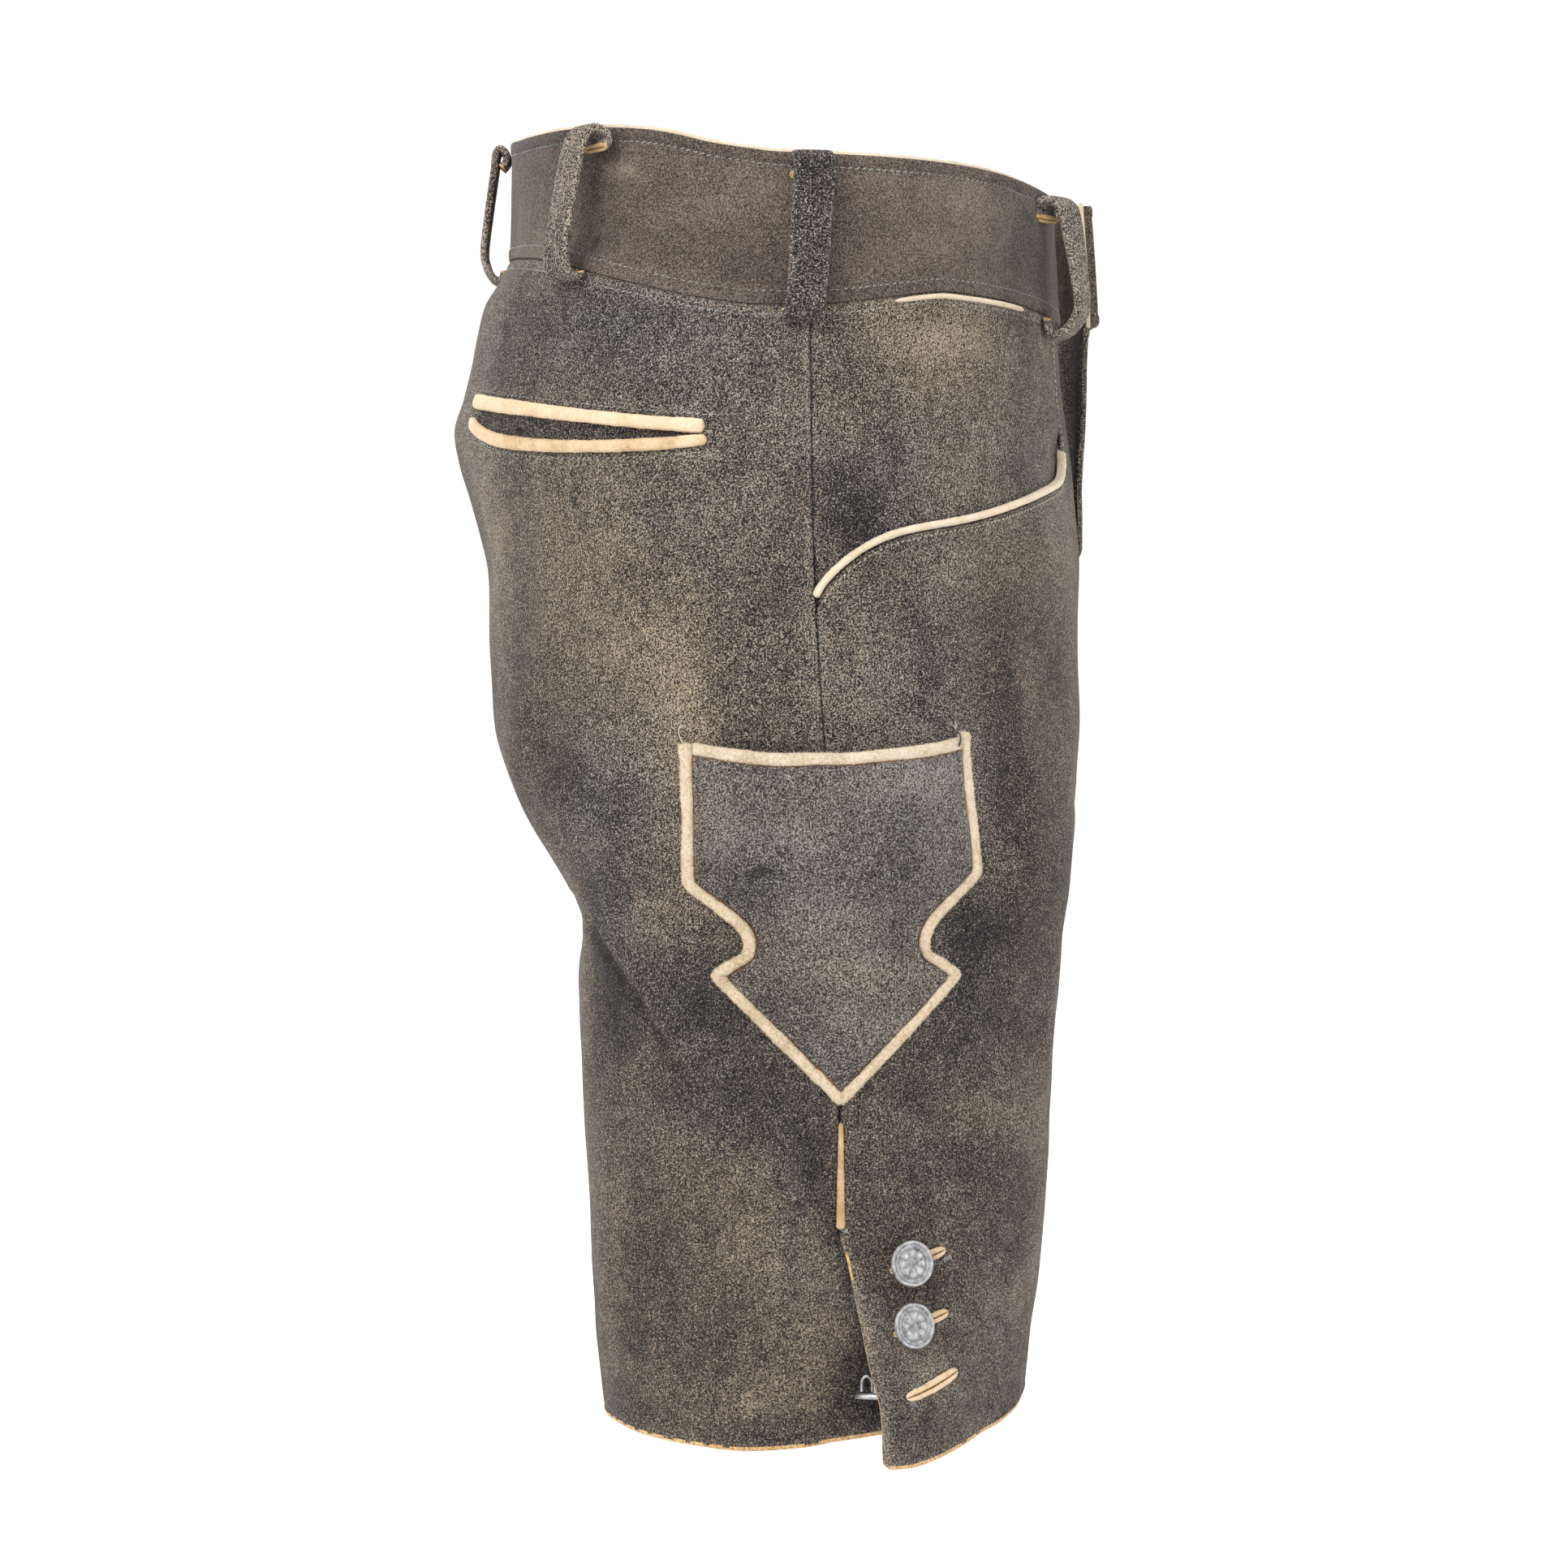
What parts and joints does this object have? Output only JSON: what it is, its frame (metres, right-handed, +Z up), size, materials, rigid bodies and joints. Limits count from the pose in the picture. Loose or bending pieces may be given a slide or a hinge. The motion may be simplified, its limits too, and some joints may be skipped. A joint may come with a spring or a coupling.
{
  "type": "leather breeches",
  "caption": "Knee-length suede breeches with belt loops, lapped fly, piped hip pockets, welted back pockets, shield-shaped leg pockets and a buttoned slit at each knee, hollow as worn.",
  "frame": {"origin": "centre of the waist, where the wearer's waist holds the breeches, on the garment's centre plane", "axes": "+Z up to the waistband's top, -Y towards the wearer's front, -X towards the wearer's right"},
  "size_m": [0.4062, 0.2672, 0.5272],
  "materials": {
    "dark_leather": "aged suede, grey brown, fine speckled grain",
    "band_leather": "aged suede, grey brown, fine speckled grain",
    "pale_leather": "undyed split leather, soft nap",
    "metal": "antique silver, worn"
  },
  "bodies": {
    "root": {"back_left": "dark_leather", "back_pocket_welt_lower_left": "pale_leather", "back_pocket_welt_lower_right": "pale_leather", "back_pocket_welt_upper_left": "pale_leather", "back_pocket_welt_upper_right": "pale_leather", "back_right": "dark_leather", "belt_loop_back_left": "dark_leather", "belt_loop_back_right": "dark_leather", "belt_loop_centre_back": "dark_leather", "belt_loop_front_left": "dark_leather", "belt_loop_front_right": "dark_leather", "belt_loop_side_left": "dark_leather", "belt_loop_side_right": "dark_leather", "front_left": "dark_leather", "front_pocket_piping_left": "pale_leather", "front_pocket_piping_right": "pale_leather", "front_right": "dark_leather", "hip_left": "dark_leather", "hip_right": "dark_leather", "knee_button_1_left": "metal", "knee_button_1_right": "metal", "knee_button_2_left": "metal", "knee_button_2_right": "metal", "knee_button_3_left": "metal", "knee_button_3_right": "metal", "knee_buttonhole_1_left": "pale_leather", "knee_buttonhole_1_right": "pale_leather", "knee_buttonhole_2_left": "pale_leather", "knee_buttonhole_2_right": "pale_leather", "knee_buttonhole_3_left": "pale_leather", "knee_buttonhole_3_right": "pale_leather", "leg_pocket_binding_left": "pale_leather", "leg_pocket_binding_right": "pale_leather", "leg_pocket_edging_left": "pale_leather", "leg_pocket_edging_right": "pale_leather", "leg_pocket_left": "dark_leather", "leg_pocket_right": "dark_leather", "side_piping_left": "pale_leather", "side_piping_right": "pale_leather", "waistband_facing_left": "pale_leather", "waistband_facing_right": "pale_leather", "waistband_left": "band_leather", "waistband_right": "band_leather", "watch_pocket_piping_left": "pale_leather", "watch_pocket_piping_right": "pale_leather"}
  },
  "joints": []
}
